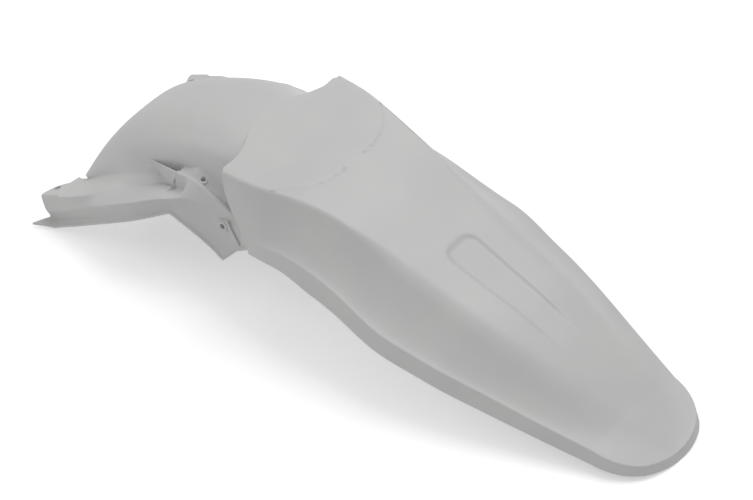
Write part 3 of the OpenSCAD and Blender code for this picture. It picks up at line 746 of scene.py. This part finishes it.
# %% Rims round the screw holes
LEDGE_SCREW_BACK, LEDGE_SCREW_HALF = STEP_BACK + 28, 74.0
LEDGE_SCREW_HEIGHT = float(top_edge(LEDGE_SCREW_BACK)[1]) - LEDGE_DEPTH
SKIRT_SCREW_BACK, SKIRT_SCREW_HEIGHT = CORNER_BACK + 3, SKIRT_CORNER + 44
LEDGE_HOLE, SKIRT_HOLE, BOLT_HOLE, BOLT_SETBACK = 5.0, 6.0, 7.0, 11.0
BOSS_RIM, BOSS_RISE, EDGE_ROUND = 2.5, 2.0, 0.5
CUTTER_REACH = 14
RIB_RISE = 6
RIB = [(203, 91.5), (215.5, 95), (230, 72), (226, 70), (213, 90), (203, 87)]


def turned(name, profile, centre, axis, steps=48):
    """A closed solid turned round an axis, from a profile of (radius, distance along the axis)
    that starts and ends on the axis."""
    axis = np.array(axis, float) / np.linalg.norm(axis)
    side = np.cross(axis, [1, 0, 0] if abs(axis[0]) < 0.7 else [0, 1, 0])
    side /= np.linalg.norm(side)
    other = np.cross(axis, side)
    r, h = np.array(profile, float).T
    turn = np.arange(steps) * 2 * math.pi / steps
    ring = np.cos(turn)[:, None, None] * side + np.sin(turn)[:, None, None] * other
    points = (centre + ring * r[None, 1:-1, None] + axis * h[None, 1:-1, None]).reshape(-1, 3)
    number = np.arange(len(points)).reshape(steps, -1)
    after = np.roll(number, -1, axis=0)
    low, high = np.full(steps, len(points)), np.full(steps, len(points) + 1)
    quads = np.stack([number[:, :-1], number[:, 1:], after[:, 1:], after[:, :-1]], axis=-1)
    faces = [*quads.reshape(-1, 4).tolist(),
             *np.stack([low, after[:, 0], number[:, 0]], axis=-1).tolist(),
             *np.stack([high, number[:, -1], after[:, -1]], axis=-1).tolist()]
    poles = np.array([centre + axis * h[0], centre + axis * h[-1]])
    return closed_piece(name, np.concatenate([points, poles]), faces)


def ring_profile(radius, low, high):
    """A plain cylinder whose upper edge is rounded by a few points of a quarter circle."""
    k = np.linspace(0, math.pi / 2, 5)
    arc = np.stack([radius - EDGE_ROUND * (1 - np.cos(k)),
                    high - EDGE_ROUND * (1 - np.sin(k))], axis=-1)
    return [(0, low), (radius, low), *arc, (0, high)]


def prism(name, outline, low, high, side):
    """A flat shape, given as (back, height) corners, as a plate from one outward place to
    another."""
    back, z = np.array(outline, float).T
    near, far = (at(ARM_FRONT - back, side * y, z) for y in (low, high))
    n = len(outline)
    faces = [list(range(n)), list(range(2 * n - 1, n - 1, -1))]
    faces += [[(i + 1) % n, i, n + i, n + (i + 1) % n] for i in range(n)]
    return closed_piece(name, np.concatenate([near, far]), faces)


UP, FLANGE_UP = (0, 0, 1), (-math.sin(ARM_TILT), 0, math.cos(ARM_TILT))
cutters = []
for side, word in ((-1, "left"), (1, "right")):
    outward = (0, side, 0)
    ledge = at(ARM_FRONT - LEDGE_SCREW_BACK, side * LEDGE_SCREW_HALF, LEDGE_SCREW_HEIGHT)
    skirt = at(ARM_FRONT - SKIRT_SCREW_BACK, side * SKIRT_HALF, SKIRT_SCREW_HEIGHT)
    bolt = at(ARM_FRONT - BOLT_SETBACK, side * BOLT_HALF, flange(BOLT_SETBACK))
    ledge_rim = ring_profile(LEDGE_HOLE / 2 + BOSS_RIM, -WALL - 3, BOSS_RISE)
    skirt_rim = ring_profile(SKIRT_HOLE / 2 + BOSS_RIM, 2, 5 + BOSS_RISE)
    turned(word + "_ledge_rim", ledge_rim, ledge, UP)
    prism(word + "_rib", RIB, SKIRT_HALF, SKIRT_HALF + RIB_RISE, side)
    turned(word + "_skirt_rim", skirt_rim, skirt, outward)
    for hole, centre, axis in ((LEDGE_HOLE, ledge, UP), (SKIRT_HOLE, skirt, outward),
                               (BOLT_HOLE, bolt, FLANGE_UP)):
        through = ring_profile(hole / 2, -CUTTER_REACH, CUTTER_REACH)
        cutters.append(turned("cutter", through, centre, axis))

# %% [markdown]
# All the closed shells become one mesh by Booleans, as the melt fills one cavity. The manifold
# solver is fast and returns closed surfaces. Nothing of the inside walls is left in the joints,
# and the holes go through rim and wall together. Edges sharper than 28 degrees stay crisp, the
# rest is shaded smooth.

# %% One moulding
CRISP = math.radians(28)


def combine(base, others, operation):
    """Base joined with, or cut by, every other mesh. The others are removed."""
    for other in others:
        modifier = base.modifiers.new(other.name, "BOOLEAN")
        modifier.operation, modifier.solver, modifier.object = operation, "MANIFOLD", other
    view = bpy.context.evaluated_depsgraph_get()
    result = bpy.data.meshes.new_from_object(base.evaluated_get(view))
    base.modifiers.clear()
    base.data = result
    for other in others:
        bpy.data.objects.remove(other)


fender = tail
walls = [o for o in bpy.data.objects if o.name.startswith(("hood", "left_", "right_"))]
combine(fender, walls, "UNION")
combine(fender, cutters, "DIFFERENCE")
fender.name = fender.data.name = "fender_shell"
fender.data.shade_smooth()
fender.data.set_sharp_from_angle(angle=CRISP)
print("moulding:", len(fender.data.polygons), "faces,",
      sum(len(f.vertices) - 2 for f in fender.data.polygons), "triangles")

# %% [markdown]
# The finish is plain polypropylene, coloured in the melt. A polished mould gives a satin skin:
# refractive index 1.49, medium roughness. Three things keep it from looking like paint: a slow
# drift of the shade over centimetres where the melt cooled unevenly, faint flow marks that vary
# the roughness, and a fine grain of under a millimetre from the mould's surface. The scale of
# each noise is one over the real size of its pattern, because Object coordinates are metres.

# %% Material
DRIFT_SIZE, FLOW_SIZE, GRAIN_SIZE = 71.4 * MM, 22.2 * MM, 0.625 * MM
GRAIN_HEIGHT = 0.04 * MM
PALE_GREY, PALER_GREY = "#cacbca", "#d0d0cf"


def srgb(code):
    """A hex colour as the linear values that the shader wants."""
    parts = np.array([int(code[i:i + 2], 16) for i in (1, 3, 5)]) / 255
    linear = np.where(parts <= 0.04045, parts / 12.92, ((parts + 0.055) / 1.055) ** 2.4)
    return (*linear.tolist(), 1.0)


def add_node(tree, kind, links=(), **settings):
    """A node with its settings and links. A setting is the value of an input, or else a
    property of the node; links are pairs of an input and the output it takes."""
    node = tree.nodes.new(kind)
    for name, value in settings.items():
        label = name.replace("_", " ")
        if label in node.inputs:
            node.inputs[label].default_value = value
        else:
            setattr(node, name, value)
    for name, output in dict(links).items():
        tree.links.new(node.inputs[name], output)
    return node


def noise(tree, size, detail):
    """Noise whose pattern has a given size in metres."""
    place = add_node(tree, "ShaderNodeTexCoord").outputs["Object"]
    node = add_node(tree, "ShaderNodeTexNoise", {"Vector": place}, Scale=1 / size, Detail=detail)
    return node.outputs["Fac"]


def blend(tree, factor, first, second):
    """A colour between two, by a factor."""
    ramp = add_node(tree, "ShaderNodeValToRGB", {"Fac": factor})
    ramp.color_ramp.elements[0].color = srgb(first)
    ramp.color_ramp.elements[1].color = srgb(second)
    return ramp


plastic = bpy.data.materials.new("injection_moulded_polypropylene_satin")
plastic.use_nodes = True
tree = plastic.node_tree
shader = tree.nodes["Principled BSDF"]
shader.inputs["IOR"].default_value = 1.49
tint = blend(tree, noise(tree, DRIFT_SIZE, 2), PALE_GREY, PALER_GREY)
tint.color_ramp.elements[0].position, tint.color_ramp.elements[1].position = 0.3, 0.7
sheen = add_node(tree, "ShaderNodeMapRange", {"Value": noise(tree, FLOW_SIZE, 3)},
                 To_Min=0.40, To_Max=0.48)
bump = add_node(tree, "ShaderNodeBump", {"Height": noise(tree, GRAIN_SIZE, 1)},
                Strength=0.12, Distance=GRAIN_HEIGHT)
tree.links.new(shader.inputs["Base Color"], tint.outputs["Color"])
tree.links.new(shader.inputs["Roughness"], sheen.outputs["Result"])
tree.links.new(shader.inputs["Normal"], bump.outputs["Normal"])
fender.data.materials.clear()
fender.data.materials.append(plastic)
print("material:", plastic.name, "with", len(tree.nodes), "nodes")

# %% [markdown]
# The camera stands where the photograph was taken from: left of the tail and well above, far
# away with a long lens, so that parallel edges stay nearly parallel. Azimuth is the turn from
# the left side towards the tail, elevation the height above the horizon, both in degrees.

# %% Camera
AZIMUTH, ELEVATION, DISTANCE = 38.5, 41.8, 8.0
FOCAL, SENSOR = 390.1, 36.0
TARGET = Vector((-0.021449, 0, 0.061968))
a, e = math.radians(AZIMUTH), math.radians(ELEVATION)
back_to_camera = Vector((math.sin(a) * math.cos(e), -math.cos(a) * math.cos(e), math.sin(e)))
camera = bpy.data.objects.new("camera", bpy.data.cameras.new("camera"))
bpy.context.scene.collection.objects.link(camera)
camera.data.lens, camera.data.sensor_width = FOCAL, SENSOR
camera.data.clip_end = 100
camera.location = TARGET + back_to_camera * DISTANCE
camera.rotation_mode = "QUATERNION"
camera.rotation_quaternion = (-back_to_camera).to_track_quat("-Z", "Y")
bpy.context.scene.camera = camera
print("camera at", [round(v, 3) for v in camera.location])

# %% [markdown]
# The floor is a sheet of white studio paper that keeps a soft shadow. To the camera it glows a
# little, which brings its colour up to the white of the photograph without any more light on
# the fender. Its fibres are a noise of a few millimetres in a colour that hardly changes.

# %% Floor
FLOOR_HALF, FLOOR_DROP = 1.6, 0.5 * MM
FIBRE_SIZE, GLOW = 3.33 * MM, 0.42
floor_mesh = bpy.data.meshes.new("floor")
floor_mesh.from_pydata([(-FLOOR_HALF, -FLOOR_HALF, 0), (FLOOR_HALF, -FLOOR_HALF, 0),
                        (FLOOR_HALF, FLOOR_HALF, 0), (-FLOOR_HALF, FLOOR_HALF, 0)],
                       [], [(0, 1, 2, 3)])
floor = bpy.data.objects.new("floor", floor_mesh)
floor.location.z = -FLOOR_DROP
bpy.context.scene.collection.objects.link(floor)
paper = bpy.data.materials.new("white_paper_roll")
paper.use_nodes = True
tree = paper.node_tree
sheet = tree.nodes["Principled BSDF"]
sheet.inputs["Roughness"].default_value = 0.9
sheet.inputs["Specular IOR Level"].default_value = 0.2
sheet.inputs["Emission Color"].default_value = (1, 1, 1, 1)
fibres = blend(tree, noise(tree, FIBRE_SIZE, 2), "#f0f0f0", "#f5f5f5")
tree.links.new(sheet.inputs["Base Color"], fibres.outputs["Color"])
seen = add_node(tree, "ShaderNodeLightPath").outputs["Is Camera Ray"]
lift = add_node(tree, "ShaderNodeMath", {0: seen}, operation="MULTIPLY")
lift.inputs[1].default_value = GLOW
tree.links.new(sheet.inputs["Emission Strength"], lift.outputs["Value"])
floor_mesh.materials.append(paper)
print("floor:", 2 * FLOOR_HALF, "m square,", round(FLOOR_DROP / MM, 1), "mm below the fender")

# %% [markdown]
# A large lamp overhead gives the long soft highlight along the crown, and three weaker ones
# open up the front, the far side and the lip. The world fills in the rest at less than half
# strength, and only the camera sees it as white, so the background takes no part in lighting
# the fender. There is no metal or glass here that would have to mirror it.

# %% Light
LIGHTS = [("overhead", (0.1, 0.85, 2.4), 1.6, 25.0), ("front_left", (-2.0, -1.2, 1.2), 1.2, 7.4),
          ("far_side", (-1.3, 2.4, 0.7), 0.5, 5.0), ("near_rear", (1.2, -1.8, 0.7), 1.2, 2.4)]
LIT_PLACE = Vector((0, 0, 0.08))
SURROUND = 0.42
for name, spot, size, watts in LIGHTS:
    lamp = bpy.data.objects.new(name, bpy.data.lights.new(name, "AREA"))
    lamp.data.size, lamp.data.energy = size, watts
    lamp.location = spot
    lamp.rotation_mode = "QUATERNION"
    lamp.rotation_quaternion = (LIT_PLACE - Vector(spot)).to_track_quat("-Z", "Y")
    bpy.context.scene.collection.objects.link(lamp)

world = bpy.data.worlds.new("soft_surround")
bpy.context.scene.world = world
world.use_nodes = True
tree = world.node_tree
tree.nodes.clear()
path = add_node(tree, "ShaderNodeLightPath")
soft = add_node(tree, "ShaderNodeBackground", Color=(1, 1, 1, 1), Strength=SURROUND)
white = add_node(tree, "ShaderNodeBackground", Color=(1, 1, 1, 1), Strength=1.0)
mix = add_node(tree, "ShaderNodeMixShader", {"Fac": path.outputs["Is Camera Ray"]})
tree.links.new(mix.inputs[1], soft.outputs["Background"])
tree.links.new(mix.inputs[2], white.outputs["Background"])
add_node(tree, "ShaderNodeOutputWorld", {"Surface": mix.outputs["Shader"]})
bpy.context.scene.view_settings.view_transform = "Standard"
print("lights:", [light[0] for light in LIGHTS])

# %% Finish
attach(fender, "root")
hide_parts("rear_fender")
